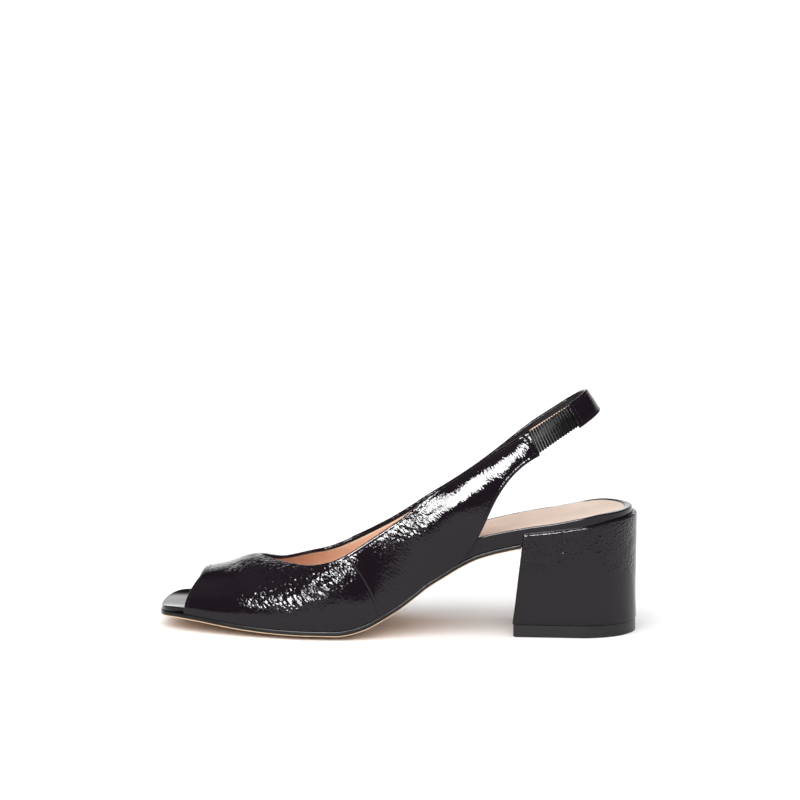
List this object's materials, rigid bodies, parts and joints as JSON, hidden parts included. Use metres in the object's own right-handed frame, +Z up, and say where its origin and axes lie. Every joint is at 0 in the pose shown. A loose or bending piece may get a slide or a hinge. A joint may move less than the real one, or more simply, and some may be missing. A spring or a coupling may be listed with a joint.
{
  "type": "slingback shoe",
  "caption": "Open-toe slingback shoe in crinkled black patent with a block heel, wrapped footbed and an elastic joint in the heel strap.",
  "frame": {"origin": "on the floor under the middle of the shoe's bounding box", "axes": "+X from the toe to the heel, +Y toward the inner side of the foot, +Z up"},
  "size_m": [0.236, 0.0786, 0.1199],
  "materials": {
    "sole_leather": "smooth tan leather with a blackened edge",
    "footbed_patent": "black patent wrapped round the board",
    "sock_leather": "matte beige lining leather",
    "upper_patent": "glossy black crinkled patent with a beige lining",
    "strap_patent": "glossy black crinkled patent with a beige lining",
    "elastic_cloth": "ribbed black elastic",
    "heel_patent": "glossy black crinkled patent cover",
    "lift_rubber": "satin black rubber"
  },
  "bodies": {
    "root": {"outsole": "sole_leather", "footbed": "footbed_patent", "sock": "sock_leather", "upper": "upper_patent", "sling_strap": "strap_patent", "elastic_joint": "elastic_cloth", "heel": "heel_patent", "top_lift": "lift_rubber"}
  },
  "joints": []
}
